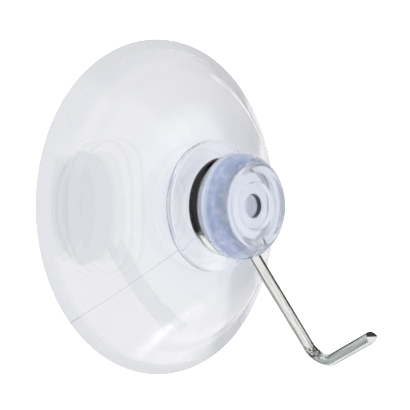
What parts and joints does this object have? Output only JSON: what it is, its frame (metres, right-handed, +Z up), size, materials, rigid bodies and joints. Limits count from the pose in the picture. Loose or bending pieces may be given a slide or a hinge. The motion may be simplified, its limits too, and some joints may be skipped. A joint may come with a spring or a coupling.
{
  "type": "suction cup hook",
  "caption": "Clear suction cup with a round collar and a dished mushroom head; a bent wire hook is ringed round its neck and turns there.",
  "frame": {"origin": "centre of the cup's rim, on the plane of the pane or wall that it is pressed on", "axes": "+Y out of the cup's mouth and into the wall, along the cup's axis; +Z up; the hook hangs to -Z and its tip points to -Y"},
  "size_m": [0.06, 0.0321, 0.0678],
  "materials": {
    "clear_pvc": "clear soft PVC with a faint blue tint, glossy off the mould",
    "plated_wire": "bright zinc-plated drawn steel wire"
  },
  "bodies": {
    "cup": {"suction_cup": "clear_pvc"},
    "hook": {"wire_hook": "plated_wire"}
  },
  "joints": [
    {"name": "hook_swivel", "type": "hinge", "parent": "cup", "child": "hook", "pos_m": [0, -0.0149, 0], "axis": [0, 1, 0], "continuous": true}
  ]
}
